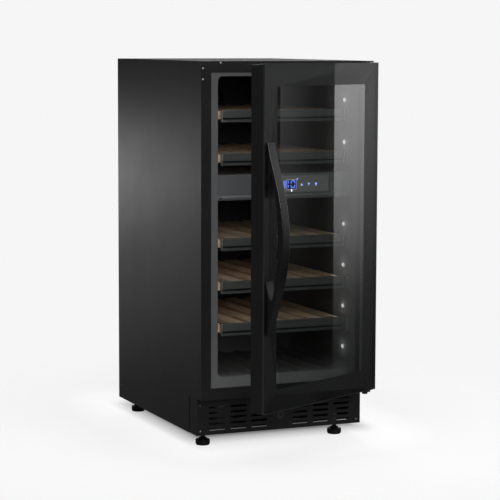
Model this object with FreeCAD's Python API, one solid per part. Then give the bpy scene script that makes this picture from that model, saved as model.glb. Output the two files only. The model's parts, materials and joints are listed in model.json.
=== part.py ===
import FreeCAD, Part
import math
import os

from FreeCAD import Vector as V

os.makedirs("parts", exist_ok=True)

# Dual-zone wine cooler with a right-hinged glass door, in millimetres.
# Built with x = 0 on the centre plane, y = 0 on the cabinet's front face and
# z = 0 on the floor, then shifted so that the origin is under the cabinet's
# middle. The door is drawn shut and swung open to its rest angle at export.

# Overall sizes
WIDTH = 395.0
DEPTH = 531.0
FLOOR_GAP = 32.0
TOP_Z = 840.0
SHEET = 1.0
HALF = WIDTH / 2

# Plinth notch and kick plate
NOTCH_DEPTH = 71.0
NOTCH_TOP_Z = 114.0
KICK_Y = 27.0
SLOT_SIZE = (38.0, 5.0)
SLOT_PITCH = (50.0, 12.0)
SLOT_ROWS = 5

# Front frame widths
FRAME_SIDE = 23.0
FRAME_TOP = 24.0
FRAME_BOTTOM = 25.0

# Inner compartment
CAVITY_HALF = 159.0
CAVITY_Z = (163.0, 808.0)
CAVITY_BACK = 470.0
STEP_Y = 322.0
STEP_Z = 240.0
LINER = 1.5
FLOOR_THICK = 6.0
DUCT_Y = 430.0

# Machine compartment under the step
MACHINE_Y = 340.0
MACHINE_Z = 205.0

# Divider between the two zones
DIVIDER_Z = (545.0, 597.6)
FASCIA_Z = 552.6

# Shelves: underside of each front trim, from the top down
SHELF_Z = (709.5, 617.0, 434.0, 341.0, 249.5)
TRIM_H = 26.0
TRIM_HALF = 143.5
RAIL_OUT = 149.0
RACK_BACK = 424.0
LAMP_Z = (754.0, 661.5, 480.0, 389.0, 297.5, 206.0)

# Door
DOOR_W = 393.0
DOOR_Z = (118.0, 836.5)
DOOR_Y = (-40.0, -4.0)
GLASS = 4.0
BORDER = 46.0
HINGE = (184.5, -20.0)
REST_OPEN = 27.5
PIN_R = 4.0
RUN = 0.05

# Levelling feet
FOOT_XY = (160.0, 84.0, 500.0)
PAD_R = 16.0

# Fans
FAN_SHAFT_R = 2.0
FAN_Z = {"upper": 742.0, "lower": 400.0}

# Spare hinge holes on the left side and the appliance inlet at the rear
SPARE_X = -192.7
SPARE_Z = (800.0, 823.0)
SPARE_TOP = (-152.0, 834.4)
INLET = (-124.0, 70.0)


def box(x0, x1, y0, y1, z0, z1):
    return Part.makeBox(x1 - x0, y1 - y0, z1 - z0, V(x0, y0, z0))


def rod(p, r, length, axis=(0, 0, 1)):
    return Part.makeCylinder(r, length, V(*p), V(*axis))


def join(shapes):
    out = shapes[0]
    if len(shapes) > 1:
        out = out.multiFuse(shapes[1:])
    return out.removeSplitter()


def prism(points, direction):
    wire = Part.makePolygon([V(*p) for p in points + points[:1]])
    return Part.Face(wire).extrude(V(*direction))


def edges_along(shape, axis):
    """Straight edges of a shape that run along one axis."""
    picked = []
    for e in shape.Edges:
        if isinstance(e.Curve, Part.Line) and abs(abs(e.Curve.Direction.dot(V(*axis))) - 1) < 1e-6:
            picked.append(e)
    return picked


def rounded_box(limits, r, axis):
    b = box(*limits)
    return b.makeFillet(r, edges_along(b, axis))


def ring(outer, inner, y0, y1, r_out=0.0, r_in=0.0):
    """Rectangular frame; outer and inner are (x half, z low, z high)."""
    def block(size, r, ya, yb):
        limits = (-size[0], size[0], ya, yb, size[1], size[2])
        return rounded_box(limits, r, (0, 1, 0)) if r else box(*limits)
    return block(outer, r_out, y0, y1).cut(block(inner, r_in, y0 - 1, y1 + 1))


def mirrored(shape):
    return shape.mirror(V(0, 0, 0), V(1, 0, 0))


def swing(shape):
    out = shape.copy()
    out.rotate(V(HINGE[0], HINGE[1], 0), V(0, 0, 1), REST_OPEN)
    return out


def export(name, shapes, door=False):
    solids = shapes if isinstance(shapes, list) else [shapes]
    if door:
        solids = [swing(s) for s in solids]
    solids = [s.translated(V(0, -DEPTH / 2, 0)) for s in solids]
    shape = solids[0] if len(solids) == 1 else Part.makeCompound(solids)
    shape.exportStep("parts/%s.step" % name)


# ---------------------------------------------------------------- outer case

def side_panel():
    """Left side: folded sheet with the plinth notch and the front flange."""
    outline = [(-HALF, 0, NOTCH_TOP_Z), (-HALF, NOTCH_DEPTH, NOTCH_TOP_Z),
               (-HALF, NOTCH_DEPTH, FLOOR_GAP), (-HALF, DEPTH, FLOOR_GAP),
               (-HALF, DEPTH, TOP_Z), (-HALF, 0, TOP_Z)]
    sheet = prism(outline, (SHEET, 0, 0))
    inner = -HALF + FRAME_SIDE
    flange = prism([(-HALF, 0, NOTCH_TOP_Z), (inner, 0, NOTCH_TOP_Z),
                    (inner, 0, TOP_Z - FRAME_TOP), (-HALF, 0, TOP_Z)], (0, SHEET, 0))
    foot_fold = box(-HALF, -HALF + 12, NOTCH_DEPTH, DEPTH - 2, FLOOR_GAP, FLOOR_GAP + SHEET)
    return join([sheet, flange, foot_fold]).cut(top_flange())


def top_flange():
    inner = HALF - FRAME_SIDE
    return prism([(-HALF, 0, TOP_Z), (HALF, 0, TOP_Z), (inner, 0, TOP_Z - FRAME_TOP),
                  (-inner, 0, TOP_Z - FRAME_TOP)], (0, SHEET, 0))


def bottom_deck():
    """Bent sheet under the insulation: front flange, deck, riser and step."""
    inner = HALF - FRAME_SIDE
    w = HALF - SHEET
    return join([
        box(-inner, inner, 0, SHEET, NOTCH_TOP_Z, NOTCH_TOP_Z + FRAME_BOTTOM),
        box(-w, w, SHEET, MACHINE_Y + SHEET, NOTCH_TOP_Z, NOTCH_TOP_Z + SHEET)
        .fuse(box(-inner, inner, 0, SHEET, NOTCH_TOP_Z, NOTCH_TOP_Z + SHEET)),
        box(-w, w, MACHINE_Y, MACHINE_Y + SHEET, NOTCH_TOP_Z, MACHINE_Z),
        box(-w, w, MACHINE_Y, DEPTH - SHEET, MACHINE_Z - SHEET, MACHINE_Z)])


def foot_rods(r, z0, z1):
    fx, fy, by = FOOT_XY
    return [rod((x, y, z0), r, z1 - z0) for x in (-fx, fx) for y in (fy, by)]


def base_tray():
    """Floor sheet of the machine space with a threaded boss over each foot."""
    w = HALF - SHEET
    floor = box(-w, w, NOTCH_DEPTH, DEPTH - SHEET * 2, FLOOR_GAP + SHEET, FLOOR_GAP + SHEET * 2.5)
    tray = join([floor] + foot_rods(9.0, FLOOR_GAP + SHEET, FLOOR_GAP + 30))
    return tray.cut(Part.makeCompound(foot_rods(5.3, FLOOR_GAP - 1, FLOOR_GAP + 40)))


def side_with_screw_holes(panel):
    for z in SPARE_Z:
        panel = panel.cut(rod((SPARE_X, -1, z), 2.0, 4, (0, 1, 0)))
    return panel


left = side_with_screw_holes(side_panel())
export("left_side_panel", left)
export("right_side_panel", mirrored(side_panel()))

top = join([box(-HALF + SHEET, HALF - SHEET, 0, DEPTH, TOP_Z - SHEET, TOP_Z), top_flange()])
export("top_panel", top.cut(rod((SPARE_TOP[0], -1, SPARE_TOP[1]), 2.0, 4, (0, 1, 0))))
export("bottom_deck", bottom_deck())
export("base_tray", base_tray())
export("rear_panel", box(-HALF + SHEET, HALF - SHEET, DEPTH - SHEET, DEPTH, MACHINE_Z, TOP_Z - SHEET))


def compressor_cover():
    """Rear cover of the machine space, with louvre slots and the inlet hole."""
    w = HALF - SHEET - 0.5
    plate = box(-w, w, DEPTH - SHEET, DEPTH, FLOOR_GAP + 3, MACHINE_Z - 1)
    slots = [rounded_box((x - 21, x + 21, DEPTH - 3, DEPTH + 2, z - 2.5, z + 2.5), 2.4, (0, 1, 0))
             for x in (-25, 30, 85, 140) for z in range(60, 190, 12)]
    cut = plate.cut(Part.makeCompound(slots))
    return cut.cut(box(INLET[0] - 24, INLET[0] + 24, DEPTH - 3, DEPTH + 2, INLET[1] - 14, INLET[1] + 14))


export("compressor_cover", compressor_cover())


def power_inlet():
    """Three-pin appliance inlet with a flanged body."""
    x, z = INLET
    body = join([box(x - 30, x + 30, DEPTH, DEPTH + 3, z - 17, z + 17),
                 box(x - 24, x + 24, DEPTH - 26, DEPTH, z - 14, z + 14)])
    body = body.cut(rounded_box((x - 13, x + 13, DEPTH - 18, DEPTH + 4, z - 9, z + 9), 3.0, (0, 1, 0)))
    pins = [box(x + dx - 1, x + dx + 1, DEPTH - 18, DEPTH - 3, z + dz - 2, z + dz + 2)
            for dx, dz in ((-7, -2), (0, 2.5), (7, -2))]
    return join([body] + pins)


export("power_inlet", power_inlet())

# ------------------------------------------------------------ inner cabinet

STEP_WALL = 6.0


def liner_envelope():
    outer = rounded_box((-CAVITY_HALF - LINER, CAVITY_HALF + LINER, 2.5, CAVITY_BACK + LINER,
                         CAVITY_Z[0] - FLOOR_THICK, CAVITY_Z[1] + LINER), 13.0, (0, 1, 0))
    return outer.cut(box(-HALF, HALF, STEP_Y + STEP_WALL, DEPTH, 0, STEP_Z - STEP_WALL))


def inner_liner():
    """Vacuum-formed liner with a flange, a grooved floor and the rear step."""
    w = CAVITY_HALF
    cavity = rounded_box((-w, w, 0, CAVITY_BACK, *CAVITY_Z), 11.5, (0, 1, 0))
    cavity = cavity.cut(box(-w - 1, w + 1, STEP_Y, DEPTH, 0, STEP_Z))
    flange = box(-HALF + FRAME_SIDE - 2, HALF - FRAME_SIDE + 2, SHEET, 2.5,
                 NOTCH_TOP_Z + FRAME_BOTTOM - 2, TOP_Z - FRAME_TOP + 2)
    shell = join([liner_envelope(), flange]).cut(cavity)
    grooves = [rod((40.0 * k, 10, CAVITY_Z[0] + 36), 40.0, STEP_Y - 10, (0, 1, 0)) for k in range(-3, 4)]
    return shell.cut(Part.makeCompound(grooves).common(box(-w, w, 0, STEP_Y, 0, CAVITY_Z[0] + 1)))


export("inner_liner", inner_liner())

foam = box(-HALF + SHEET, HALF - SHEET, 2.5, DEPTH - SHEET, NOTCH_TOP_Z + SHEET, TOP_Z - SHEET)
foam = foam.cut(box(-HALF, HALF, MACHINE_Y, DEPTH, 0, MACHINE_Z))
export("foam_insulation", foam.cut(liner_envelope()))

runners = []
for z in SHELF_Z:
    for side in (-1, 1):
        x = sorted((side * 150.0, side * CAVITY_HALF))
        runners.append(rounded_box((*x, 26, 426, z - 2, z + 6.5), 3.0, (1, 0, 0)))
export("shelf_runners", runners)

guides = [rounded_box((150.0, CAVITY_HALF, 8, 22, z - 8, z + 24), 6.0, (1, 0, 0)) for z in SHELF_Z]
export("shelf_end_guides", guides)

# Divider block, its rounded sill, the fascia and the display
WIN_X = (-8.0, 105.0)
WIN_Z = (557.0, 593.0)
dw = CAVITY_HALF - 0.2
divider = box(-dw, dw, 12, DUCT_Y - 1, *DIVIDER_Z)
divider = divider.cut(box(WIN_X[0] + 2, WIN_X[1] - 2, 11, 24, WIN_Z[0] + 3, WIN_Z[1] - 3))
export("zone_divider", divider)

sill = box(-dw, dw, 3, 12, 543, FASCIA_Z)
sill = sill.makeFillet(4.0, [e for e in edges_along(sill, (1, 0, 0)) if e.CenterOfMass.y < 4])
export("divider_sill", sill.cut(rod((-152, 0, 548), 2.6, 8, (0, 1, 0))))

fascia = box(-dw, dw, 8, 12, FASCIA_Z, DIVIDER_Z[1])
fascia = fascia.cut(box(*WIN_X, 7, 9.5, *WIN_Z))
export("control_fascia", fascia.cut(box(WIN_X[0] + 5, WIN_X[1] - 5, 9, 13, WIN_Z[0] + 5, WIN_Z[1] - 5)))
export("display_window", box(WIN_X[0] + 0.2, WIN_X[1] - 0.2, 8.4, 9.5, WIN_Z[0] + 0.2, WIN_Z[1] - 0.2))
export("control_board", box(WIN_X[0] + 4, WIN_X[1] - 4, 16, 17.6, WIN_Z[0] + 5, WIN_Z[1] - 5))

lamps = []
for z in LAMP_Z:
    lens = rod((CAVITY_HALF, 40, z), 4.5, 3.0, (-1, 0, 0))
    lamps.append(lens.makeFillet(1.8, [e for e in lens.Edges if e.CenterOfMass.x < CAVITY_HALF - 2
                                       and isinstance(e.Curve, Part.Circle)]))
export("led_lamps", lamps)

# --------------------------------------------------- air ducts, fans, coils

DUCT_Z = {"upper": (DIVIDER_Z[1] + 0.2, CAVITY_Z[1] - 6), "lower": (STEP_Z + 0.2, DIVIDER_Z[0] - 0.2)}


def duct_cover(zone):
    z0, z1 = DUCT_Z[zone]
    plate = box(-dw, dw, DUCT_Y, DUCT_Y + 2, z0, z1)
    ends = [box(x, x + 2, DUCT_Y + 2, CAVITY_BACK - 0.3, z0, z1 - 8) for x in (-dw, dw - 2)]
    cover = join([plate] + ends)
    cuts = []
    fan_z = FAN_Z[zone]
    for k in range(-4, 5):
        half = math.sqrt(34.0 ** 2 - (k * 7.0) ** 2)
        cuts.append(box(-half, half, DUCT_Y - 1, DUCT_Y + 3, fan_z + k * 7 - 2, fan_z + k * 7 + 2))
    for x in (-118, 118):
        for k in range(7):
            z = fan_z - 30 + k * 10
            cuts.append(box(x - 24, x + 24, DUCT_Y - 1, DUCT_Y + 3, z - 2, z + 2))
    for x in range(-120, 121, 20):
        cuts.append(box(x - 3, x + 3, DUCT_Y - 1, DUCT_Y + 3, z0 + 10, z0 + 34))
    return cover.cut(Part.makeCompound(cuts))


def fan_frame(size, depth, y, x, z):
    """Square fan housing with a rear spider, a motor cup and a shaft."""
    h = size / 2
    body = box(x - h, x + h, y, y + depth, z - h, z + h)
    body = body.cut(rod((x, y - 1, z), h - 2.5, depth + 2, (0, 1, 0)))
    spider = [box(x - h + 1, x + h - 1, y + depth - 3, y + depth, z - 2, z + 2),
              box(x - 2, x + 2, y + depth - 3, y + depth, z - h + 1, z + h - 1),
              rod((x, y + depth - 5, z), size * 0.17, 5, (0, 1, 0)),
              rod((x, y + 4, z), FAN_SHAFT_R, depth - 5, (0, 1, 0))]
    return join([body] + spider)


def fan_rotor(size, depth, y, x, z):
    """Hub with swept blades, bored to run on the housing's shaft."""
    hub_r, tip = size * 0.17, size / 2 - 4.0
    length = depth - 9
    hub = rod((x, y + 2, z), hub_r, length, (0, 1, 0))
    blades = []
    for k in range(7):
        blade = box(-0.25 * size / 2, 0.25 * size / 2, -0.8, 0.8, hub_r - 2, tip)
        blade.rotate(V(0, 0, 0), V(0, 0, 1), 35)
        blade.rotate(V(0, 0, 0), V(0, 1, 0), k * 360.0 / 7)
        blades.append(blade.translated(V(x, y + 2 + length / 2, z)))
    swept = join(blades + [hub]).common(rod((x, y + 1.5, z), tip, length + 1, (0, 1, 0)))
    return swept.cut(rod((x, y + 3, z), FAN_SHAFT_R + RUN, length, (0, 1, 0)))


def evaporator(z0):
    fins = [box(x - 0.4, x + 0.4, DUCT_Y + 6, DUCT_Y + 34, z0, z0 + 56) for x in range(-110, 111, 11)]
    tubes = [rod((-116, y, z), 4, 232, (1, 0, 0))
             for y in (DUCT_Y + 13, DUCT_Y + 27) for z in (z0 + 14, z0 + 42)]
    bends = [box(x, x + 5, DUCT_Y + 9, DUCT_Y + 31, z0 + 10, z0 + 46) for x in (-121, 116)]
    return join(fins + tubes + bends)


export("upper_duct_cover", duct_cover("upper"))
export("lower_duct_cover", duct_cover("lower"))
export("evaporators", [evaporator(612), evaporator(262)])
export("evaporator_fan_frames", [fan_frame(84, 26, DUCT_Y + 5, 0, z) for z in FAN_Z.values()])
export("upper_fan_rotor", fan_rotor(84, 26, DUCT_Y + 5, 0, FAN_Z["upper"]))
export("lower_fan_rotor", fan_rotor(84, 26, DUCT_Y + 5, 0, FAN_Z["lower"]))

# --------------------------------------------------------- machine compartment

TRAY_Z = FLOOR_GAP + SHEET * 2.5
COMP = (100.0, 440.0)
CFAN = (-104.0, 404.0, 110.0)


def compressor():
    x, y = COMP
    shell = rod((x, y, TRAY_Z + 14), 58, 122)
    rims = [e for e in shell.Edges if isinstance(e.Curve, Part.Circle)]
    shell = shell.makeFillet(28, [e for e in rims if e.CenterOfMass.z > 100])
    plate = box(x - 75, x + 75, y - 50, y + 50, TRAY_Z + 12, TRAY_Z + 15)
    belt = rod((x, y, TRAY_Z + 62), 60, 5)
    relay = box(x - 74, x - 50, y - 24, y + 24, TRAY_Z + 40, TRAY_Z + 90)
    return join([shell, plate, belt, relay])


export("compressor", compressor())
export("compressor_grommets", [rod((COMP[0] + dx, COMP[1] + dy, TRAY_Z), 9, 12)
                               for dx in (-62, 62) for dy in (-38, 38)])


def condenser():
    fins = [box(x - 0.5, x + 0.5, 356, 392, TRAY_Z + 4, 190) for x in range(-184, -23, 8)]
    tubes = [rod((-188, y, z), 4, 168, (1, 0, 0)) for y in (366, 382) for z in range(56, 180, 24)]
    ends = [box(x, x + 3, 354, 394, TRAY_Z, 194) for x in (-190, -23)]
    return join(fins + tubes + ends)


export("condenser", condenser())
export("condenser_fan_frame", fan_frame(124, 30, 394.5, CFAN[0], CFAN[2]))
export("condenser_fan_rotor", fan_rotor(124, 30, 394.5, CFAN[0], CFAN[2]))


def pipe(points, r):
    parts = []
    for a, b in zip(points, points[1:]):
        a, b = V(*a), V(*b)
        parts.append(Part.makeCylinder(r, (b - a).Length, a, b - a))
    return parts + [Part.makeSphere(r, V(*p)) for p in points[1:-1]]


def refrigerant_pipes():
    """Discharge line, filter drier and the suction line up into the insulation."""
    x, y = COMP
    discharge = pipe([(x - 10, y - 57.9, 90), (x - 10, 372, 90), (-8, 372, 90), (-8, 372, 140),
                      (-20, 372, 140)], 3.0)
    suction = pipe([(x + 20, y + 55.4, 120), (x + 20, 505, 120), (x + 20, 505, MACHINE_Z - SHEET)], 4.0)
    drier = [rod((10, 500, 60), 9, 90)] + pipe([(10, 500, 150), (10, 500, MACHINE_Z - SHEET)], 2.0)
    return [join(discharge), join(suction), join(drier)]


export("refrigerant_pipes", refrigerant_pipes())

# --------------------------------------------------------------- kick plate

KICK_SCREWS = [(x, z) for x in (-187.5, 187.5) for z in (39.7, 97.3)]
LOCK_Z = 64.3
LOCK_SCREWS = [(-12.0, LOCK_Z), (12.0, LOCK_Z)]


def kick_plate():
    w = HALF - SHEET
    z0, z1 = FLOOR_GAP + 0.3, NOTCH_TOP_Z - 0.3
    skin = join([box(-w, w, KICK_Y, KICK_Y + 1.2, z0, z1),
                 box(-w, -w + 1.2, KICK_Y, NOTCH_DEPTH - 0.3, z0, z1),
                 box(w - 1.2, w, KICK_Y, NOTCH_DEPTH - 0.3, z0, z1)])
    cols = [side * (49.0 + SLOT_PITCH[0] * k) for side in (-1, 1) for k in range(3)]
    a, b = SLOT_SIZE[0] / 2, SLOT_SIZE[1] / 2
    cuts = [rounded_box((x - a, x + a, KICK_Y - 2, KICK_Y + 3, z - b, z + b), b - 0.1, (0, 1, 0))
            for x in cols for z in (44.2 + SLOT_PITCH[1] * k for k in range(SLOT_ROWS))]
    cuts += [rod((x, KICK_Y - 1, z), 2.0, 4, (0, 1, 0)) for x, z in KICK_SCREWS]
    cuts += [rod((x, KICK_Y - 1, z), 1.3, 4, (0, 1, 0)) for x, z in LOCK_SCREWS]
    cuts.append(rod((0, KICK_Y - 1, LOCK_Z), 8.0, 4, (0, 1, 0)))
    return skin.cut(Part.makeCompound(cuts))


def dome_screw(x, y, z, head_r, shank_r, length):
    """Cross-recess dome head screw facing the front."""
    head = Part.makeSphere(head_r * 1.4, V(x, y + head_r * 0.9, z))
    head = head.common(rod((x, y - head_r, z), head_r, head_r, (0, 1, 0)))
    screw = join([head, rod((x, y, z), shank_r, length, (0, 1, 0))])
    for a, b in ((head_r * 0.5, 0.4), (0.4, head_r * 0.5)):
        screw = screw.cut(box(x - a, x + a, y - head_r, y - head_r * 0.25, z - b, z + b))
    return screw


export("kick_plate", kick_plate())
screws = [dome_screw(x, KICK_Y, z, 4.0, 2.0, 8) for x, z in KICK_SCREWS]
screws += [dome_screw(x, KICK_Y, z, 2.4, 1.3, 8) for x, z in LOCK_SCREWS]
screws += [dome_screw(SPARE_X, 0, z, 3.6, 2.0, 2.4) for z in SPARE_Z]
screws.append(dome_screw(SPARE_TOP[0], 0, SPARE_TOP[1], 3.6, 2.0, 2.4))
export("dome_screws", screws)

barrel = join([rod((0, KICK_Y - 2, LOCK_Z), 9.5, 2, (0, 1, 0)), rod((0, KICK_Y, LOCK_Z), 8.0, 20, (0, 1, 0))])
export("lock_body", barrel.cut(rod((0, KICK_Y - 3, LOCK_Z), 6.0 + RUN, 24, (0, 1, 0))))
plug = join([rod((0, KICK_Y - 2.5, LOCK_Z), 6.0, 23, (0, 1, 0)),
             rounded_box((-5, 5, KICK_Y + 20.5, KICK_Y + 22.5, LOCK_Z - 5, LOCK_Z + 26), 4.5, (0, 1, 0))])
export("lock_plug", plug.cut(box(-0.9, 0.9, KICK_Y - 3, KICK_Y + 8, LOCK_Z - 3.6, LOCK_Z + 3.6)))

# ------------------------------------------------------------------- hinges

TAB_X = (173.0, 196.0)


def hinge_bracket(upper):
    """Angle plate with the door's pivot pin riveted through it."""
    hx, hy = HINGE
    if upper:
        plate_z, tab_z, pin_z = (837.0, 840.0), (827.0, 840.0), (825.0, 837.0)
    else:
        plate_z, tab_z, pin_z = (112.0, 115.0), (112.0, 127.5), (115.0, 130.0)
    plate = box(TAB_X[0], TAB_X[1], -32, 0, *plate_z)
    plate = plate.makeFillet(9.0, [e for e in edges_along(plate, (0, 0, 1)) if e.CenterOfMass.y < -30])
    shapes = [plate, box(*TAB_X, -3, 0, *tab_z), rod((hx, hy, pin_z[0]), PIN_R, pin_z[1] - pin_z[0])]
    if not upper:
        head = prism([(hx + 7 * math.cos(math.radians(a)), hy + 7 * math.sin(math.radians(a)), 107)
                      for a in range(0, 360, 60)], (0, 0, 5))
        shapes += [head, rod((hx, hy, 115), 7.5, 2.5)]
    bracket = join(shapes)
    for x, z in hinge_screw_places(upper):
        bracket = bracket.cut(Part.makeCone(3.6, 1.8, 3, V(x, -3, z), V(0, 1, 0)))
    return bracket


def hinge_screw_places(upper):
    z = 831.5 if upper else 122.5
    return [(178.5, z), (190.5, z)]


export("top_hinge_bracket", hinge_bracket(True))
export("bottom_hinge_bracket", hinge_bracket(False))


def flush_screw(x, z):
    head = Part.makeCone(3.6, 1.8, 3, V(x, -3, z), V(0, 1, 0))
    for a, b in ((1.8, 0.4), (0.4, 1.8)):
        head = head.cut(box(x - a, x + a, -4, -1.8, z - b, z + b))
    return head


export("hinge_screws", [flush_screw(x, z) for up in (True, False) for x, z in hinge_screw_places(up)])

# --------------------------------------------------------------------- door

DH = DOOR_W / 2
PRINT = 1.0
SPACER = (37.0, 43.5)
PANE_Y = (-27.0, -23.0)
PANE_INSET = 30.0
LIP_Y = -19.0
GASKET = (10.0, 22.0)
HEEL_R = 16.3
HANDLE_X = (-190.5, -167.5)
HANDLE_Z = 480.0
SCREW_DZ = 172.0


def inset(d):
    return (DH - d, DOOR_Z[0] + d, DOOR_Z[1] - d)


def handle_bores(r, y0, y1):
    x = sum(HANDLE_X) / 2
    return Part.makeCompound([rod((x, y0, HANDLE_Z + s * SCREW_DZ), r, y1 - y0, (0, 1, 0)) for s in (-1, 1)])


def bush_places():
    return [(HINGE[0], HINGE[1], DOOR_Z[0]), (HINGE[0], HINGE[1], DOOR_Z[1] - 14)]


def door_frame():
    """Black frame: a thin mask right behind the outer glass and a body round both panes."""
    mask = ring(inset(0), inset(BORDER), DOOR_Y[0] + GLASS, DOOR_Y[0] + GLASS + PRINT, 3.0)
    body = ring(inset(0), inset(PANE_INSET), DOOR_Y[0] + GLASS + PRINT, PANE_Y[1], 3.0)
    frame = join([mask, body]).cut(handle_bores(2.2, -50, 0))
    return frame.cut(Part.makeCompound([rod(p, 6.0, 14) for p in bush_places()]))


def door_inner_frame():
    """Rear frame with a lip on the inner pane and the gasket groove; its hinge edge is rounded
    to swing clear of the brackets."""
    lip = ring(inset(1.0), inset(36.0), PANE_Y[1], LIP_Y, 3.0, 2.0)
    body = ring(inset(1.0), inset(24.0), LIP_Y, DOOR_Y[1], 3.0, 2.0)
    groove = ring(inset(13.0), inset(19.0), DOOR_Y[1] - 4, DOOR_Y[1] + 1)
    heel = box(HINGE[0], DH + 1, LIP_Y - 1, DOOR_Y[1] + 1, DOOR_Z[0] - 1, DOOR_Z[1] + 1)
    heel = heel.cut(rod((*HINGE, DOOR_Z[0] - 2), HEEL_R, DOOR_Z[1] - DOOR_Z[0] + 4))
    frame = join([lip, body]).cut(groove).cut(handle_bores(5.0, -50, 0)).cut(heel)
    return frame.cut(Part.makeCompound([rod(p, 6.0, 14) for p in bush_places()]))


def door_gasket():
    """Magnetic gasket: a barbed root in the groove and a flat bellows lip."""
    root = ring(inset(13.0), inset(19.0), DOOR_Y[1] - 4, DOOR_Y[1])
    lip = ring(inset(GASKET[0]), inset(GASKET[1]), DOOR_Y[1], -0.3, 4.0, 2.0)
    return join([root, lip]).cut(ring(inset(14.5), inset(17.5), DOOR_Y[1] - 1.5, -1.8))


outer_glass = rounded_box((-DH, DH, DOOR_Y[0], DOOR_Y[0] + GLASS, *DOOR_Z), 3.0, (0, 1, 0))
export("door_outer_glass", outer_glass.cut(handle_bores(2.2, -50, -30)), door=True)
export("door_frame", door_frame(), door=True)
spacer = ring(inset(SPACER[0]), inset(SPACER[1]), DOOR_Y[0] + GLASS + PRINT, PANE_Y[0])
export("glass_spacer", spacer, door=True)
pane = PANE_INSET + 0.5
export("door_inner_glass", box(-DH + pane, DH - pane, *PANE_Y, DOOR_Z[0] + pane, DOOR_Z[1] - pane), door=True)
export("door_inner_frame", door_inner_frame(), door=True)
export("door_gasket", door_gasket(), door=True)
export("hinge_bushes", [rod(p, 6.0, 14).cut(rod(p, PIN_R + RUN, 14)) for p in bush_places()], door=True)


def smooth(points):
    curve = Part.BSplineCurve()
    curve.interpolate([V(HANDLE_X[0], DOOR_Y[0] - s, HANDLE_Z + dz) for s, dz in points])
    return curve.toShape()


def handle():
    """Bow handle: crescent side profile with a lens-shaped finger gap."""
    arc = [(4.0, 197), (11.5, 165), (20.5, 135), (30.5, 100), (40.5, 50), (44.0, 0)]
    outer = smooth([(s, -dz) for s, dz in arc] + [(s, dz) for s, dz in arc[-2::-1]])
    ends = [Part.makeLine(V(HANDLE_X[0], DOOR_Y[0], HANDLE_Z + k * 197),
                          V(HANDLE_X[0], DOOR_Y[0] - 4.0, HANDLE_Z + k * 197)) for k in (-1, 1)]
    base = Part.makeLine(V(HANDLE_X[0], DOOR_Y[0], HANDLE_Z - 197), V(HANDLE_X[0], DOOR_Y[0], HANDLE_Z + 197))
    face = Part.Face(Part.Wire(Part.__sortEdges__([ends[0], outer, ends[1], base])))
    bar = face.extrude(V(HANDLE_X[1] - HANDLE_X[0], 0, 0))
    bar = bar.makeFillet(2.0, [e for e in bar.Edges if e.BoundBox.YMin < DOOR_Y[0] - 20])
    bow = [(12.0, 137), (17.0, 117), (21.5, 95), (28.0, 50), (30.0, 0)]
    inner = smooth([(s, -dz) for s, dz in bow] + [(s, dz) for s, dz in bow[-2::-1]])
    skirt = []
    for k in (-1, 1):
        skirt.append(smooth([(12.0, k * 137), (7.0, k * 120), (3.0, k * 104), (0.0, k * 86)]))
    cover = [V(HANDLE_X[0], DOOR_Y[0], HANDLE_Z - 86), V(HANDLE_X[0], DOOR_Y[0] + 5, HANDLE_Z - 86),
             V(HANDLE_X[0], DOOR_Y[0] + 5, HANDLE_Z + 86), V(HANDLE_X[0], DOOR_Y[0], HANDLE_Z + 86)]
    close = [Part.makeLine(a, b) for a, b in zip(cover, cover[1:])]
    lens = Part.Face(Part.Wire(Part.__sortEdges__([inner] + skirt + close)))
    gap = lens.extrude(V(HANDLE_X[1] - HANDLE_X[0], 0, 0))
    bar = bar.cut(gap)
    return bar.cut(handle_bores(1.6, DOOR_Y[0] - 6, DOOR_Y[0] + 1))


export("handle", handle(), door=True)
hx = sum(HANDLE_X) / 2
fixings = [join([rod((hx, -45.5, HANDLE_Z + s * SCREW_DZ), 1.6, 23, (0, 1, 0)),
                 rod((hx, PANE_Y[1], HANDLE_Z + s * SCREW_DZ), 4.0, 3, (0, 1, 0))]) for s in (-1, 1)]
export("handle_screws", fixings, door=True)

# ------------------------------------------------------------------ shelves


def shelf_trim(z):
    """Extruded two-step front trim with plain end caps."""
    y = 10.0
    section = [(y, z + 10.5), (y, z + TRIM_H - 1), (y + 1, z + TRIM_H), (y + 14, z + TRIM_H),
               (y + 14, z + 2), (y + 12, z), (y + 3, z), (y + 2, z + 1), (y + 2, z + 6),
               (y + 4, z + 6.3), (y + 4, z + 10.2)]
    return prism([(-TRIM_HALF, a, b) for a, b in section], (TRIM_HALF * 2, 0, 0))


def rack(z):
    """Beech rack: two rails, three cross bars and the slats laid on them."""
    rails = [box(*sorted((s * RAIL_OUT, s * (RAIL_OUT - 13))), 24, RACK_BACK, z + 7, z + 23) for s in (-1, 1)]
    inner = RAIL_OUT - 13
    bars = [box(-inner, inner, y, y + 18, z + 7, z + 15) for y in (24, 215, RACK_BACK - 18)]
    slats = [box(x - 16, x + 16, 24, RACK_BACK, z + 15, z + 23) for x in (-94, -47, 0, 47, 94)]
    slats = [s.makeFillet(1.5, [e for e in edges_along(s, (0, 1, 0)) if e.CenterOfMass.z > z + 20])
             for s in slats]
    return rails + bars + slats


for number, z in enumerate(SHELF_Z, 1):
    export("shelf_%d_trim" % number, shelf_trim(z))
    export("shelf_%d_rack" % number, rack(z))

# --------------------------------------------------------------------- feet


def foot(x, y):
    """Levelling foot: faceted pad, collar and threaded stud."""
    pad = prism([(x + PAD_R * math.cos(math.radians(a)), y + PAD_R * math.sin(math.radians(a)), 0)
                 for a in range(0, 360, 30)], (0, 0, 12))
    pad = pad.common(Part.makeCone(PAD_R - 2, PAD_R + 6, 12, V(x, y, 0)))
    return join([pad, rod((x, y, 12), 9, 4), rod((x, y, 16), 5, 34)])


fx, fy, by = FOOT_XY
for name, x, y in (("front_left", -fx, fy), ("front_right", fx, fy),
                   ("rear_left", -fx, by), ("rear_right", fx, by)):
    export("foot_%s" % name, foot(x, y))
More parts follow.
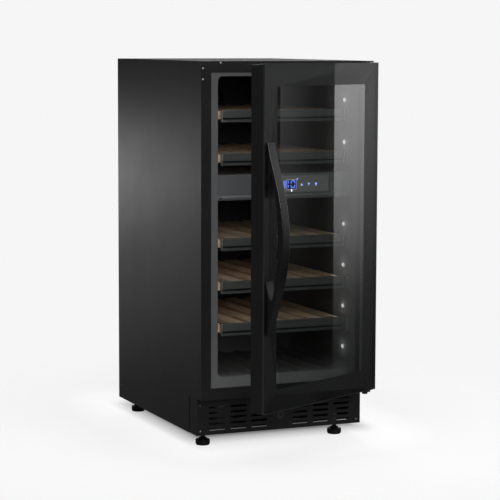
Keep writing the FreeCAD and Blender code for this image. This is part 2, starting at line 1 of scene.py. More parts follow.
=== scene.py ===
"""Looks for the dual-zone wine cooler: materials, small detail pieces, studio and camera."""

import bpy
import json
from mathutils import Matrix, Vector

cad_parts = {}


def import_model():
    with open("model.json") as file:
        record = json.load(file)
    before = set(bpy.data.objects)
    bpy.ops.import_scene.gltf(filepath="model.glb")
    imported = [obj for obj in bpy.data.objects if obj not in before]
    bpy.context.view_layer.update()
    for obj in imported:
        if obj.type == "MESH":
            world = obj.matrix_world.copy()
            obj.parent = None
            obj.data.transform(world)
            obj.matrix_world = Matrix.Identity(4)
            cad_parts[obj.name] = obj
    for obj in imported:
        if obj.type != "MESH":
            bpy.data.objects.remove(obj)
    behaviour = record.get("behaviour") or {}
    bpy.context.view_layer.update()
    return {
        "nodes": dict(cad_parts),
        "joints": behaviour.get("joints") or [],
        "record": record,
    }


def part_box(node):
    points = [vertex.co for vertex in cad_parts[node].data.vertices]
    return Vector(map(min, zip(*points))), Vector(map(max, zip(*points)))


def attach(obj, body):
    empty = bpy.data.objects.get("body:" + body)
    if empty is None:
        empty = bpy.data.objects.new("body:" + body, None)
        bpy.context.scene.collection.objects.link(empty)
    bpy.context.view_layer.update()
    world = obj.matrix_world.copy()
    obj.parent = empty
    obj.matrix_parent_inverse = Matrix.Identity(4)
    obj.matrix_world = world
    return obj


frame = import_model()

import json
import math

import bmesh
import bpy
from mathutils import Matrix, Vector

NODES = frame["nodes"]
MM = 0.001
RACKS = range(1, 6)
HINGE = next(j for j in frame["joints"] if j["name"] == "door_hinge")
SHUT_TURN = math.radians(HINGE["range_deg"][0])    # from the door at rest to the door shut
DOOR_HALF = 0.1965                                 # half the width of the outer glass
DOOR_FRONT = HINGE["pos_m"][1] - 0.020             # face of the outer glass on the shut door
PRINT_WIDTH = 0.046                                # printed border along its top and bottom
PRINT_SIDE_WIDTH = PRINT_WIDTH + 0.004             # and down its sides

# ------------------------------------------------------------------ camera

CAM_AT = (-1.70083, -4.03525, 0.88614)
YAW, PITCH, ROLL = math.radians(23.21), math.radians(6.27), math.radians(0.18)
SENSOR = 36.0
FOCAL_WIDTHS = 1919.0 / 500.0    # focal length in widths of the image


def make_camera():
    data = bpy.data.cameras.new("camera")
    data.sensor_width = SENSOR
    data.lens = SENSOR * FOCAL_WIDTHS
    data.clip_end = 100.0
    cam = bpy.data.objects.new("camera", data)
    bpy.context.scene.collection.objects.link(cam)
    level = math.cos(PITCH)
    ahead = Vector((math.sin(YAW) * level, math.cos(YAW) * level, -math.sin(PITCH)))
    right = Vector((math.cos(YAW), -math.sin(YAW), 0.0))
    up = right.cross(ahead)
    rolled_right = math.cos(ROLL) * right + math.sin(ROLL) * up
    rolled_up = -math.sin(ROLL) * right + math.cos(ROLL) * up
    turn = Matrix((rolled_right, rolled_up, -ahead)).transposed().to_4x4()
    cam.matrix_world = Matrix.Translation(CAM_AT) @ turn
    bpy.context.scene.camera = cam


make_camera()

# --------------------------------------------------------------- materials


class Surface:
    """A node material with one Principled shader, built step by step."""

    def __init__(self, name, rough=0.4, metal=0.0, coat=0.0, spec=0.5, coat_rough=0.1):
        self.mat = bpy.data.materials.new(name)
        self.mat.use_nodes = True
        self.tree = self.mat.node_tree
        self.tree.nodes.clear()
        self.out = self.add("ShaderNodeOutputMaterial")
        self.bsdf = self.add("ShaderNodeBsdfPrincipled")
        self.link(self.bsdf.outputs[0], self.out.inputs["Surface"])
        self.set("Roughness", rough)
        self.set("Metallic", metal)
        self.set("Coat Weight", coat)
        self.set("Coat Roughness", coat_rough)
        self.set("Specular IOR Level", spec)
        self.coord = self.add("ShaderNodeTexCoord")

    def add(self, kind):
        return self.tree.nodes.new(kind)

    def link(self, a, b):
        self.tree.links.new(a, b)

    def set(self, socket, value):
        self.bsdf.inputs[socket].default_value = value

    def place(self, stretch=(1, 1, 1), turn=(0, 0, 0), shift=(0, 0, 0)):
        """Object coordinates, scaled per axis, turned, then shifted."""
        m = self.add("ShaderNodeMapping")
        m.inputs["Scale"].default_value = stretch
        m.inputs["Rotation"].default_value = turn
        m.inputs["Location"].default_value = shift
        self.link(self.coord.outputs["Object"], m.inputs["Vector"])
        return m.outputs["Vector"]

    def axes(self, vector=None):
        """X, Y and Z of a vector, or of the object coordinates."""
        split = self.add("ShaderNodeSeparateXYZ")
        self.link(self.coord.outputs["Object"] if vector is None else vector, split.inputs["Vector"])
        return split.outputs

    def length(self, vector):
        m = self.add("ShaderNodeVectorMath")
        m.operation = "LENGTH"
        self.link(vector, m.inputs[0])
        return m.outputs["Value"]

    def noise(self, scale, detail=4.0, rough=0.55, stretch=(1, 1, 1), distortion=0.0):
        n = self.add("ShaderNodeTexNoise")
        n.inputs["Scale"].default_value = scale
        n.inputs["Detail"].default_value = detail
        n.inputs["Roughness"].default_value = rough
        n.inputs["Distortion"].default_value = distortion
        self.link(self.place(stretch), n.inputs["Vector"])
        return n.outputs["Fac"]

    def ramp(self, value, stops):
        r = self.add("ShaderNodeValToRGB")
        e = r.color_ramp.elements
        while len(e) < len(stops):
            e.new(0.5)
        for i, (at, colour) in enumerate(stops):
            e[i].position = at
            e[i].color = (*colour, 1.0)
        self.link(value, r.inputs["Fac"])
        return r.outputs["Color"]

    def spread(self, value, low, high, start=0.0, end=1.0, kind="LINEAR"):
        """Value running from start to end, turned into one running from low to high."""
        m = self.add("ShaderNodeMapRange")
        m.interpolation_type = kind
        m.inputs["From Min"].default_value, m.inputs["From Max"].default_value = start, end
        m.inputs["To Min"].default_value, m.inputs["To Max"].default_value = low, high
        self.link(value, m.inputs["Value"])
        return m.outputs["Result"]

    def math(self, kind, a, b=None):
        m = self.add("ShaderNodeMath")
        m.operation = kind
        for i, v in enumerate((a, b)):
            if v is None:
                continue
            if isinstance(v, (int, float)):
                m.inputs[i].default_value = v
            else:
                self.link(v, m.inputs[i])
        return m.outputs[0]

    def colour(self, dark, light, value):
        self.link(self.ramp(value, [(0.3, dark), (0.7, light)]), self.bsdf.inputs["Base Color"])

    def roughness(self, value, low, high):
        self.link(self.spread(value, low, high), self.bsdf.inputs["Roughness"])

    def bump(self, value, strength, distance):
        b = self.add("ShaderNodeBump")
        b.inputs["Strength"].default_value = strength
        b.inputs["Distance"].default_value = distance
        self.link(value, b.inputs["Height"])
        last = self.bsdf.inputs["Normal"]
        if last.is_linked:
            self.link(last.links[0].from_socket, b.inputs["Normal"])
        self.link(b.outputs["Normal"], last)

    def blend(self, share, first, second):
        """Surface that goes from one shader to another as share goes from 0 to 1."""
        mix = self.add("ShaderNodeMixShader")
        self.link(share, mix.inputs["Fac"])
        self.link(first.outputs[0], mix.inputs[1])
        self.link(second.outputs[0], mix.inputs[2])
        self.link(mix.outputs[0], self.out.inputs["Surface"])


def grey(v, tint=(1.0, 1.0, 1.0)):
    return tuple(v * t for t in tint)


def moulded(name, dark, light, low, high, grain=900.0, strength=0.12, coat=0.0,
            tint=(1, 1, 1), spec=0.5):
    """Moulded plastic, rough from low to high: slow tone drift, fine leathery grain, uneven gloss."""
    s = Surface(name, coat=coat, spec=spec)
    s.colour(grey(dark, tint), grey(light, tint), s.noise(9.0, 5.0))
    s.roughness(s.noise(14.0, 6.0, 0.6), low, high)
    s.bump(s.noise(grain, 3.0, 0.6), strength, 0.0002)
    return s.mat


def painted(name, dark, light, low, high, peel=420.0, strength=0.08, tint=(1, 1, 1),
            coat=0.0, spec=0.5):
    """Powder coat, rough from low to high: orange peel, faint handling haze, soft waviness."""
    s = Surface(name, coat=coat, spec=spec)
    haze = s.noise(5.0, 6.0, 0.6, distortion=0.4)
    s.colour(grey(dark, tint), grey(light, tint), haze)
    s.roughness(s.noise(11.0, 6.0, 0.65), low, high)
    s.bump(s.noise(peel, 2.0, 0.5), strength, 0.0003)
    s.bump(s.noise(3.0, 1.0), 0.03, 0.002)
    return s.mat


def brushed(name, dark, light, stretch, rough=0.32, metal=1.0, tint=(1, 1, 1)):
    """Metal with fine drawn lines along one axis."""
    s = Surface(name, metal=metal)
    lines = s.noise(260.0, 4.0, 0.7, stretch)
    s.colour(grey(dark, tint), grey(light, tint), lines)
    s.roughness(lines, rough - 0.07, rough + 0.1)
    s.bump(lines, 0.1, 0.0001)
    return s.mat


def galvanised(name):
    """Zinc-plated sheet with faint crystal flakes."""
    s = Surface(name, metal=1.0)
    v = s.add("ShaderNodeTexVoronoi")
    v.inputs["Scale"].default_value = 150.0
    s.link(s.place(), v.inputs["Vector"])
    split = s.add("ShaderNodeSeparateColor")
    s.link(v.outputs["Color"], split.inputs["Color"])
    flake = split.outputs[0]
    tone = s.ramp(flake, [(0.0, grey(0.4)), (1.0, grey(0.46, (0.97, 1.0, 1.03)))])
    s.link(tone, s.bsdf.inputs["Base Color"])
    s.roughness(flake, 0.37, 0.44)
    s.bump(s.noise(60.0), 0.05, 0.0003)
    return s.mat


def beech():
    """Pale beech with grain and short dark flecks along the slats."""
    s = Surface("beech", coat=0.12, coat_rough=0.3)
    rings = s.noise(26.0, 6.0, 0.6, (1.0, 0.07, 1.0), 1.6)
    flecks = s.noise(1500.0, 2.0, 0.5, (1.0, 0.05, 1.0))
    base = s.ramp(rings, [
        (0.3, (0.5, 0.345, 0.225)), (0.5, (0.66, 0.49, 0.35)), (0.68, (0.76, 0.6, 0.45))])
    fleck = s.ramp(flecks, [(0.3, (0.72, 0.62, 0.52)), (0.42, (1.0, 1.0, 1.0))])
    mix = s.add("ShaderNodeMix")
    mix.data_type = "RGBA"
    mix.blend_type = "MULTIPLY"
    mix.inputs["Factor"].default_value = 0.8
    s.link(base, mix.inputs["A"])
    s.link(fleck, mix.inputs["B"])
    s.link(mix.outputs["Result"], s.bsdf.inputs["Base Color"])
    s.roughness(rings, 0.42, 0.6)
    s.bump(flecks, 0.15, 0.0002)
    return s.mat


def spacer_bar():
    """Aluminium spacer with a row of breathing holes along it."""
    s = Surface("spacer_bar", metal=1.0)
    pitch = 0.006
    at = s.axes()
    squares = []
    for axis in ("X", "Z"):
        wave = s.math("SINE", s.math("MULTIPLY", at[axis], 2 * math.pi / pitch))
        squares.append(s.math("MULTIPLY", wave, wave))
    dots, rows = s.math("MINIMUM", *squares), squares[1]
    s.link(s.ramp(rows, [(0.35, grey(0.62)), (0.75, grey(0.16))]), s.bsdf.inputs["Base Color"])
    s.roughness(s.noise(300.0), 0.25, 0.42)
    s.bump(dots, 0.2, 0.0002)
    return s.mat


def door_window(s, border, clear):
    """One value over the printed border of the door and another over its clear window."""
    hinge = Vector(HINGE["pos_m"])
    shift = hinge - Matrix.Rotation(SHUT_TURN, 3, "Z") @ hinge
    at = s.axes(s.place(turn=(0, 0, SHUT_TURN), shift=shift))
    lo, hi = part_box("door_frame")
    middle, tall = (lo.z + hi.z) / 2, (hi.z - lo.z) / 2 - PRINT_WIDTH
    across = s.math("DIVIDE", s.math("ABSOLUTE", at["X"]), DOOR_HALF - PRINT_SIDE_WIDTH)
    up = s.math("DIVIDE", s.math("ABSOLUTE", s.math("SUBTRACT", at["Z"], middle)), tall)
    return s.spread(s.math("LESS_THAN", s.math("MAXIMUM", across, up), 1.0), border, clear)


def pane(name, tint, mirror, over_window=None):
    """Clear sheet whose Fresnel mirror is counted once, on the face by which a ray enters.

    over_window multiplies the mirror over the door's clear window.
    """
    s = Surface(name)
    s.tree.nodes.remove(s.bsdf)
    clear = s.add("ShaderNodeBsdfTransparent")
    haze = s.noise(6.0, 6.0, 0.65)
    s.link(s.ramp(haze, [(0.0, grey(0.985, tint)), (1.0, tint)]), clear.inputs["Color"])
    gloss = s.add("ShaderNodeBsdfGlossy")
    s.link(s.spread(haze, 0.004, 0.02), gloss.inputs["Roughness"])
    fresnel = s.add("ShaderNodeFresnel")
    fresnel.inputs["IOR"].default_value = 1.5
    side = s.add("ShaderNodeNewGeometry")
    entering = s.spread(side.outputs["Backfacing"], mirror, 0.0)
    share = s.math("MULTIPLY", fresnel.outputs[0], entering)
    if over_window:
        share = s.math("MULTIPLY", share, door_window(s, 1.0, over_window))
    s.blend(share, clear, gloss)
    return s.mat


def glow(name, colour, strength, core=0.8):
    """Lit lens or printed symbol: emission over a slightly uneven surface, core times as bright."""
    s = Surface(name, rough=0.3, coat=0.3)
    s.colour(grey(core * 0.9, colour), grey(core, colour), s.noise(400.0))
    s.set("Emission Color", (*colour, 1.0))
    s.set("Emission Strength", strength)
    return s.mat


MATS = {
    "case_steel": painted("case_paint", 0.0055, 0.0085, 0.33, 0.43, tint=(1.0, 1.0, 1.04)),
    "plated_steel": galvanised("plated_steel"),
    "screw_steel": brushed("screw_steel", 0.1, 0.18, (1, 1, 6), 0.4),
    "foam": moulded("foam", 0.5, 0.62, 0.8, 0.9, 500.0, 0.5, tint=(1.0, 0.93, 0.7)),
    "liner": moulded("liner", 0.066, 0.078, 0.36, 0.46, 700.0, 0.1, tint=(1.0, 1.0, 1.03)),
    "fascia": moulded("fascia", 0.062, 0.072, 0.3, 0.38, 1200.0, 0.06, tint=(0.98, 1.0, 1.04)),
    "display": moulded("display", 0.12, 0.135, 0.28, 0.34, 1500.0, 0.02, coat=0.2),
    "circuit_board": moulded("circuit_board", 0.04, 0.07, 0.4, 0.5, 500.0, 0.2,
                             tint=(0.4, 1.0, 0.5)),
    "lamp": glow("lamp_lens", (1.0, 1.0, 1.0), 0.55, 0.12),
    "duct_plastic": moulded("duct_plastic", 0.022, 0.028, 0.45, 0.55),
    "coil_aluminium": brushed("coil_aluminium", 0.5, 0.7, (1, 1, 0.1)),
    "fan_plastic": moulded("fan_plastic", 0.012, 0.018, 0.4, 0.55),
    "copper": brushed("copper", 0.5, 0.72, (0.3, 0.3, 0.3), tint=(1.0, 0.56, 0.36)),
    "compressor_black": painted("compressor_black", 0.008, 0.014, 0.2, 0.32, 200.0, 0.12, coat=0.3),
    "grommet_rubber": moulded("grommet_rubber", 0.016, 0.024, 0.65, 0.8, 800.0, 0.2),
    "inlet_plastic": moulded("inlet_plastic", 0.012, 0.018, 0.4, 0.5),
    "lock_chrome": brushed("lock_chrome", 0.03, 0.05, (4, 1, 1), 0.34, 0.6),
    "door_plastic": moulded("door_plastic", 0.006, 0.009, 0.42, 0.52, 800.0, 0.08, spec=0.45),
    "door_glass": pane("door_glass", (0.975, 0.985, 0.98), 0.78, 4.9),
    "spacer_aluminium": spacer_bar(),
    "gasket_rubber": moulded("gasket_rubber", 0.02, 0.028, 0.55, 0.7, 500.0, 0.12),
    "nylon": moulded("nylon", 0.7, 0.78, 0.45, 0.55),
    "handle_black": painted("handle_black", 0.003, 0.0045, 0.24, 0.32, 500.0, 0.06, spec=0.85),
    "trim_anodised": brushed("trim_anodised", 0.05, 0.064, (0.04, 1, 1), 0.36, 0.35,
                             (0.94, 1.0, 1.0)),
    "beech": beech(),
    "foot_plastic": moulded("foot_plastic", 0.003, 0.005, 0.45, 0.6, 700.0, 0.15, spec=0.3),
}

for entry in frame["record"]["subparts"]:
    data = NODES[entry["node"]].data
    data.materials.clear()
    data.materials.append(MATS[entry["material_slot"]])
NODES["door_inner_glass"].data.materials[0] = pane("door_glass_inner", (0.95, 0.96, 0.955), 0.2)

# ----------------------------------------------------------- detail pieces


def mesh_object(name, bm, material):
    """Object in the scene, made from a bmesh that it uses up."""
    mesh = bpy.data.meshes.new(name)
    bm.to_mesh(mesh)
    bm.free()
    obj = bpy.data.objects.new(name, mesh)
    bpy.context.scene.collection.objects.link(obj)
    mesh.materials.append(material)
    return obj


def new_piece(name, bm, body, material, bevel=0.0):
    """Closed detail piece that moves with a body."""
    bmesh.ops.recalc_face_normals(bm, faces=bm.faces)
    obj = mesh_object(name, bm, material)
    if bevel:
        m = obj.modifiers.new("edge", "BEVEL")
        m.width, m.segments, m.limit_method = bevel, 2, "ANGLE"
    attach(obj, body)


def extrude_outline(bm, outline, base, along, up, out, thick):
    """Solid from a 2-D outline given in the plane (along, up), pushed by thick along out."""
    base, along, up, out = (Vector(v) for v in (base, along, up, out))
    low = [bm.verts.new(base + along * a + up * b) for a, b in outline]
    high = [bm.verts.new(v.co + out * thick) for v in low]
    bm.faces.new(low)
    bm.faces.new(high[::-1])
    n = len(low)
    for i in range(n):
        bm.faces.new((low[i], low[(i + 1) % n], high[(i + 1) % n], high[i]))


def in_mm(outline):
    return [(a * MM, b * MM) for a, b in outline]


def end_caps():
    """Metal caps that close the ends of each rack's front trim, drawn in millimetres."""
    section = [(0, 10.5), (0, 25), (1, 26), (14, 26), (14, 2), (12, 0), (3, 0), (2, 1), (2, 8),
               (4, 8.5), (4, 10)]
    thick, bevel = 0.0016, 0.0003
    material = brushed("cap_metal", 0.4, 0.55, (1, 1, 0.2), 0.3, 0.9)
    for n in RACKS:
        lo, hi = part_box("shelf_%d_trim" % n)
        bm = bmesh.new()
        for side, x in ((-1, lo.x), (1, hi.x)):
            extrude_outline(bm, in_mm(section), (x, lo.y, lo.z),
                            (0, 1, 0), (0, 0, 1), (side, 0, 0), thick)
        new_piece("shelf_%d_end_caps" % n, bm, "shelf_%d" % n, material, bevel)


end_caps()


def rectangle(x0, z0, x1, z1):
    return [(x0, z0), (x1, z0), (x1, z1), (x0, z1)]


def disc(cx, cz, r, n=20):
    turns = [2 * math.pi * k / n for k in range(n)]
    return [(cx + r * math.cos(a), cz + r * math.sin(a)) for a in turns]


def painted_trim_lines():
    """Painted shade and painted highlight on each rack trim: a matt black insert lying in its groove,
    and a fine pale rod along its top edge.
    """
    # Near-black insert: painted shade for the shadow that falls in the groove.
    painted_shade = moulded("painted_groove_shade", 0.002, 0.004, 0.6, 0.75, 700.0, 0.1, spec=0.2)
    # Rod paler than the trim's own metal: painted highlight along its top edge.
    painted_highlight = brushed("painted_edge_highlight", 0.12, 0.17, (0.04, 1, 1), 0.4, 0.7)
    inset, shade_height, shade_thick, highlight_radius = 0.0005, 0.0038, 0.0006, 0.00055
    for n in RACKS:
        lo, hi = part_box("shelf_%d_trim" % n)
        x0, wide = lo.x + inset, hi.x - lo.x - 2 * inset
        bm = bmesh.new()
        extrude_outline(bm, rectangle(0.0, 0.0, wide, shade_height),
                        (x0, lo.y + 0.0012, lo.z + 0.0063), (1, 0, 0), (0, 0, 1), (0, 1, 0), shade_thick)
        new_piece("shelf_%d_groove_strip" % n, bm, "shelf_%d" % n, painted_shade)
        bm = bmesh.new()
        extrude_outline(bm, disc(0.0, 0.0, highlight_radius, 8),
                        (x0, lo.y + 0.0003, hi.z - 0.0004), (0, 1, 0), (0, 0, 1), (1, 0, 0), wide)
        new_piece("shelf_%d_top_bead" % n, bm, "shelf_%d" % n, painted_highlight)


painted_trim_lines()

SEGMENTS = {"0": "abcdef", "1": "bc"}


def digit_outlines(char, w, h, t):
    """Bars of one segmented digit, w wide, h high and t thick, as outlines in millimetres."""
    gap = 0.25
    bars = {
        "a": (0, h - t, w, h), "b": (w - t, h / 2, w, h), "c": (w - t, 0, w, h / 2),
        "d": (0, 0, w, t), "e": (0, 0, t, h / 2), "f": (0, h / 2, t, h)}
    out = []
    for key in SEGMENTS[char]:
        x0, z0, x1, z1 = bars[key]
        c = min(x1 - x0, z1 - z0) / 2
        end = gap + c * 0.6
        if x1 - x0 > z1 - z0:
            x0, x1, m = x0 + end, x1 - end, (z0 + z1) / 2
            out.append([(x0, m), (x0 + c, z0), (x1 - c, z0), (x1, m), (x1 - c, z1), (x0 + c, z1)])
        else:
            z0, z1, m = z0 + end, z1 - end, (x0 + x1) / 2
            out.append([(m, z0), (x1, z0 + c), (x1, z1 - c), (m, z1), (x0, z1 - c), (x0, z0 + c)])
    return out


def display_marks():
    """Two lit digits, a level mark, touch symbols and a pilot light on the display.

    Outlines are in millimetres from the lower left corner of the display's front face.
    """
    lo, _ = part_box("display_window")

    def emit(name, outlines, material, thick=0.0003):
        bm = bmesh.new()
        for outline in outlines:
            extrude_outline(bm, in_mm(outline), lo, (1, 0, 0), (0, 0, 1), (0, -1, 0), thick)
        new_piece(name, bm, "cabinet", material)

    def shift(outline, dx, dz):
        return [(a + dx, b + dz) for a, b in outline]

    blue = glow("display_blue", (0.1, 0.2, 1.0), 0.85)
    pale = glow("display_pale_blue", (0.34, 0.42, 1.0), 1.1)
    white = glow("display_white", (0.9, 0.93, 1.0), 1.6)
    digits = [shift(o, 2.6, 8.0) for o in digit_outlines("1", 15.6, 17.5, 2.6)]
    digits += [shift(o, 22.4, 8.0) for o in digit_outlines("0", 11.0, 17.5, 2.8)]
    emit("display_digits", digits, blue)
    dark = moulded("display_dark", 0.006, 0.009, 0.2, 0.3, 1500.0, 0.02)
    emit("display_recess", [rectangle(13.4, 5.6, 35.8, 26.6)], dark, 0.00012)
    x0, z0, x1, z1, t = 12.6, 4.6, 36.6, 27.4, 1.5
    rim = [rectangle(x0, z0, x1, z0 + t), rectangle(x0, z1 - t, x1, z1),
           rectangle(x0, z0 + t, x0 + t, z1 - t), rectangle(x1 - t, z0 + t, x1, z1 - t)]
    print_white = moulded("display_rim", 0.5, 0.58, 0.3, 0.4, 900.0, 0.05, tint=(0.95, 0.95, 1.1))
    emit("display_rim", rim, print_white, 0.00022)
    level = [(6.4, 7.4), (9.8, 7.4), (12.0, 12.0), (12.0, 24.6), (5.0, 24.6), (5.0, 12.0)]
    emit("display_level", [level], blue)
    up = [(45.6, 13.2), (52.0, 13.2), (48.8, 18.8)]
    down = [(62.4, 18.8), (65.6, 13.2), (68.8, 18.8)]
    bulb, bulb_base = disc(82.9, 16.8, 2.7), rectangle(81.6, 12.0, 84.2, 13.6)
    emit("display_symbols", [up, down, bulb, bulb_base, disc(38.6, 28.0, 1.7, 12)], pale)
    emit("display_pilot", [rectangle(23.4, 0.8, 26.2, 6.0)], white)


display_marks()


def on_door(bm):
    """Turns a piece drawn on the shut door to where the door stands at rest."""
    turn = Matrix.Rotation(-SHUT_TURN, 4, "Z")
    at = Matrix.Translation(HINGE["pos_m"])
    bm.transform(at @ turn @ at.inverted())


def band(bm, half_x, z_lo, z_hi, y_lo, y_hi, thick):
    """Thin band wrapped round the edge of an upright sheet that faces Y."""
    rings = []
    for y in (y_lo, y_hi):
        for grow in (0.0, thick):
            rings.append([bm.verts.new((sx * (half_x + grow), y, z)) for sx, z in (
                (-1, z_lo - grow), (1, z_lo - grow), (1, z_hi + grow), (-1, z_hi + grow))])
    a, b, c, d = rings
    for p, q in ((a, b), (b, d), (d, c), (c, a)):
        for k in range(4):
            bm.faces.new((p[k], p[(k + 1) % 4], q[(k + 1) % 4], q[k]))


def glass_edge():
    """Ground and polished edge of the outer pane, all the way round."""
    lo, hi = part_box("door_outer_glass")
    sunk, thick = 0.0001, 0.0003
    bm = bmesh.new()
    band(bm, DOOR_HALF - sunk, lo.z + sunk, hi.z - sunk, DOOR_FRONT + 0.0004, DOOR_FRONT + 0.004, thick)
    on_door(bm)
    material = moulded("ground_glass", 0.018, 0.026, 0.35, 0.5, 900.0, 0.2, tint=(0.9, 1.0, 0.97))
    new_piece("door_glass_edge", bm, "door", material)


glass_edge()


def mitre_seams():
    """Fine seams where the side flanges meet the top flange at 45 degrees."""
    lo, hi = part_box("top_panel")
    inset, w, thick = 0.0012, 0.0003, 0.00015
    bm = bmesh.new()
    for side in (-1, 1):
        x, z = side * (hi.x - inset), hi.z - inset
        end_x, end_z = x - side * 0.0215, z - 0.0225
        outline = [(x + side * w, z), (x, z + w), (end_x, end_z + w), (end_x + side * w, end_z)]
        extrude_outline(bm, outline, (0, lo.y, 0), (1, 0, 0), (0, 0, 1), (0, -1, 0), thick)
    new_piece("flange_seams", bm, "cabinet", MATS["case_steel"])


mitre_seams()


def screw_head(bm, centre, out=(0, 1, 0), r=0.0042, h=0.0022, spokes=24):
    """Dome screw head, r in radius and h high, with a cross recess pressed in its middle."""
    out = Vector(out)
    side = out.orthogonal().normalized()
    up = out.cross(side)
    centre = Vector(centre)
    rings = [(r, 0.0), (r, h * 0.35), (r * 0.86, h * 0.75), (r * 0.6, h), (r * 0.22, h),
             (r * 0.16, h * 0.4)]
    loops = []
    for radius, height in rings:
        loop = []
        for k in range(spokes):
            a = 2 * math.pi * k / spokes
            in_cross = radius < r * 0.3 and k % (spokes // 4) == 0
            reach = radius * (1.9 if in_cross else 1.0)
            spoke = side * math.cos(a) + up * math.sin(a)
            loop.append(bm.verts.new(centre + out * height + spoke * reach))
        loops.append(loop)
    for a, b in zip(loops, loops[1:]):
        for k in range(spokes):
            bm.faces.new((a[k], a[(k + 1) % spokes], b[(k + 1) % spokes], b[k]))
    bm.faces.new(loops[0][::-1])
    bm.faces.new(loops[-1])


def case_screws():
    """Screws round the rear panel and its machine cover."""
    inset, end, rows = 0.012, 0.02, 5
    lo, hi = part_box("rear_panel")
    y = hi.y
    bm = bmesh.new()
    for x in (lo.x + inset, hi.x - inset):
        for k in range(rows):
            screw_head(bm, (x, y, lo.z + end + k * (hi.z - lo.z - 2 * end) / (rows - 1)))
    for x in (-0.09, 0.0, 0.09):
        screw_head(bm, (x, y, hi.z - inset))
    lo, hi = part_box("compressor_cover")
    for x in (lo.x + inset, hi.x - inset):
        for z in (lo.z + inset, hi.z - inset):
            screw_head(bm, (x, hi.y, z))
    new_piece("rear_screws", bm, "cabinet", MATS["screw_steel"])


case_screws()

# -------------------------------------------------------------- soft edges

EDGE_WIDTHS = {
    "left_side_panel": 0.0008, "right_side_panel": 0.0004, "top_panel": 0.0004,
    "door_frame": 0.0006, "kick_plate": 0.0003, "inner_liner": 0.0016,
    "control_fascia": 0.0005, "zone_divider": 0.0006, "shelf_runners": 0.0005,
    "bottom_deck": 0.0003,
}
EDGE_ANGLE = math.radians(40)
for name, width in EDGE_WIDTHS.items():
    m = NODES[name].modifiers.new("edge", "BEVEL")
    m.width, m.segments, m.limit_method, m.angle_limit = width, 2, "ANGLE", EDGE_ANGLE

# ------------------------------------------------------------------ studio

PALE = 0.921            # background, as the camera sees it
CARD_X = 2.2            # plane of the card on the right
CARD_EDGE_Y = -0.72     # front edge of its bright part
REAR_Y = 1.75           # plane of the glows behind the cabinet


def stage_object(name, bm, material, seen_by):
    obj = mesh_object(name, bm, material)
    obj.visible_camera, obj.visible_glossy = "camera" in seen_by, "glossy" in seen_by
    obj.visible_diffuse, obj.visible_shadow = "diffuse" in seen_by, "shadow" in seen_by


def stretched_length(s, centre, radii):
    """Distance from centre, each axis measured in its own radius."""
    shift = [-c / r for c, r in zip(centre, radii)]
    return s.length(s.place([1.0 / r for r in radii], shift=shift))


def footprint_distance(s, centre, half, stretch):
    """Distance outside a rectangle on the floor, stretched along each axis."""
    at = s.axes()
    join = s.add("ShaderNodeCombineXYZ")
    for axis, c, h, k in zip("XY", centre, half, stretch):
        out = s.math("SUBTRACT", s.math("ABSOLUTE", s.math("SUBTRACT", at[axis], c)), h)
        s.link(s.math("MULTIPLY", s.math("MAXIMUM", out, 0.0), k), join.inputs[axis])
    return s.length(join.outputs[0])


def floor():
    """Pale floor disc with a soft contact shade, fading into the background with distance."""
    shade_reach, fade_from, fade_to, radius = 0.3, 0.5, 1.1, 1.2
    s = Surface("floor", rough=0.9, spec=0.1)
    s.colour(grey(0.2), grey(0.21), s.noise(2.0))
    s.set("Emission Strength", 0.81)
    away = footprint_distance(s, (0.0475, 0.0975), (0.1875, 0.2025), (1.7, 1.0))
    shade = s.ramp(s.spread(away, 0.0, 1.0, end=shade_reach), [
        (0.0, grey(0.24)), (0.06, grey(0.5)), (0.13, grey(0.66)), (0.2, grey(0.8)),
        (0.27, grey(0.92)), (0.34, grey(0.99)), (0.43, grey(0.99)), (1.0, grey(0.89))])
    s.link(shade, s.bsdf.inputs["Emission Color"])
    share = s.spread(s.length(s.place()), 1.0, 0.0, fade_from, fade_to, "SMOOTHSTEP")
    s.blend(share, s.add("ShaderNodeBsdfTransparent"), s.bsdf)
    bm = bmesh.new()
    bmesh.ops.create_circle(bm, cap_ends=True, radius=radius, segments=96)
    stage_object("floor", bm, s.mat, ("camera", "diffuse", "shadow"))


def emissive(name):
    """Material that only gives off light, and its light."""
    s = Surface(name)
    s.tree.nodes.remove(s.bsdf)
    light = s.add("ShaderNodeEmission")
    s.link(light.outputs[0], s.out.inputs["Surface"])
    return s, light


def quad(corners):
    bm = bmesh.new()
    bm.faces.new([bm.verts.new(c) for c in corners])
    return bm


def side_card():
    """Lit card that the door mirrors on the right, sharp at its front edge and dimmer low down."""
    z_lo, z_hi, y_lo, y_hi = -0.6, 1.6, -1.8, 0.5
    s, light = emissive("side_card")
    at = s.axes()
    levels = [(-0.22, 0.02), (-0.02, 0.06), (0.075, 0.12), (0.17, 0.24), (0.27, 0.42),
              (0.365, 0.56), (0.56, 0.9), (0.75, 1.15), (1.6, 1.25)]
    stops = [((z - z_lo) / (z_hi - z_lo), grey(v)) for z, v in levels]
    s.link(s.ramp(s.spread(at["Z"], 0.0, 1.0, z_lo, z_hi), stops), light.inputs["Color"])
    behind = s.math("GREATER_THAN", at["Y"], CARD_EDGE_Y)
    front = s.spread(at["Y"], 0.045, 0.17, CARD_EDGE_Y - 0.07, -0.9)
    s.link(s.math("ADD", behind, front), light.inputs["Strength"])
    corners = [(CARD_X, y, z) for y, z in rectangle(y_lo, z_lo, y_hi, z_hi)]
    stage_object("side_card", quad(corners), s.mat, ("glossy", "diffuse"))


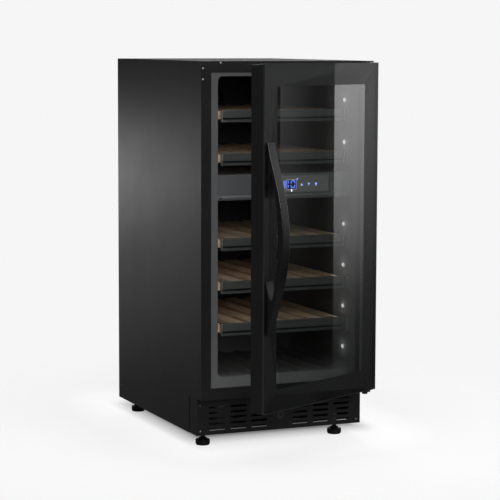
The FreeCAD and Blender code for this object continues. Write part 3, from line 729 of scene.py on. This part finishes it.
def rear_glow(name, x_range, blobs):
    """Soft glow behind the cabinet, seen only as the sheen on a side panel.

    Each blob is its centre and radii in X and Z, and its power.
    """
    z_lo, z_hi, total = -0.8, 1.8, 0.06
    s, light = emissive(name)
    for (x, z), (wide, high), power in blobs:
        fall = s.ramp(stretched_length(s, (x, REAR_Y, z), (wide, 1, high)),
                      [(0.0, grey(1.0)), (0.35, grey(0.75)), (0.7, grey(0.25)), (1.0, grey(0.0))])
        total = s.math("ADD", s.math("MULTIPLY", fall, power), total)
    s.link(total, light.inputs["Strength"])
    corners = [(x, REAR_Y, z) for x, z in rectangle(x_range[0], z_lo, x_range[1], z_hi)]
    stage_object(name, quad(corners), s.mat, ("glossy",))


def lamp_halos():
    """Tiny lights just off each lamp lens, for the pool of light on the wall round it."""
    lens_gap, off_wall = 0.02, 0.012
    lo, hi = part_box("led_lamps")
    groups = []
    for z in sorted(v.co.z for v in NODES["led_lamps"].data.vertices):
        if groups and z - groups[-1][-1] < lens_gap:
            groups[-1].append(z)
        else:
            groups.append([z])
    for k, g in enumerate(groups):
        data = bpy.data.lights.new("lamp_halo_%d" % k, "POINT")
        data.energy, data.shadow_soft_size = 0.012, 0.003
        obj = bpy.data.objects.new("lamp_halo_%d" % k, data)
        bpy.context.scene.collection.objects.link(obj)
        obj.location = (lo.x - off_wall, (lo.y + hi.y) / 2, (g[0] + g[-1]) / 2)
        obj.visible_glossy = False


def area(name, at, towards, size, power):
    """Square lamp aimed at a point."""
    data = bpy.data.lights.new(name, "AREA")
    data.shape = "RECTANGLE"
    data.size, data.size_y = size, size
    data.energy = power
    obj = bpy.data.objects.new(name, data)
    bpy.context.scene.collection.objects.link(obj)
    obj.location = at
    obj.rotation_mode = "QUATERNION"
    obj.rotation_quaternion = (Vector(towards) - Vector(at)).to_track_quat("-Z", "Y")
    obj.visible_camera = False
    return obj


def world():
    """Pale to the camera, and a dim room to everything else."""
    w = bpy.data.worlds.new("studio")
    bpy.context.scene.world = w
    w.use_nodes = True
    tree = w.node_tree
    tree.nodes.clear()
    out = tree.nodes.new("ShaderNodeOutputWorld")
    seen, room = tree.nodes.new("ShaderNodeBackground"), tree.nodes.new("ShaderNodeBackground")
    seen.inputs["Color"].default_value = (PALE, PALE, PALE, 1.0)
    room.inputs["Color"].default_value = (0.06, 0.06, 0.0615, 1.0)
    rays = tree.nodes.new("ShaderNodeLightPath")
    mix = tree.nodes.new("ShaderNodeMixShader")
    tree.links.new(rays.outputs["Is Camera Ray"], mix.inputs["Fac"])
    tree.links.new(room.outputs[0], mix.inputs[1])
    tree.links.new(seen.outputs[0], mix.inputs[2])
    tree.links.new(mix.outputs[0], out.inputs["Surface"])


floor()
side_card()
rear_glow("left_glow", (-2.4, 0.2), [
    ((-0.55, 0.47), (0.4, 0.23), 3.0),
    ((-0.7, 0.23), (0.65, 0.5), 0.5)])
rear_glow("right_glow", (0.2, 3.4), [((1.4, 0.4), (1.2, 0.9), 1.3)])
lamp_halos()
world()
area("overhead", (-0.3, -0.9, 2.9), (0.0, 0.0, 0.0), 2.6, 80.0)
area("front_fill", (-0.9, -3.4, 1.7), (0.0, 0.0, 0.45), 1.6, 38.0)
area("front_right", (1.3, -3.2, 1.2), (0.1, -0.2, 0.45), 1.4, 45.0).visible_glossy = False
area("rear_fill", (0.8, 2.6, 1.9), (0.0, 0.0, 0.4), 1.6, 30.0)
bpy.context.scene.view_settings.view_transform = "Standard"
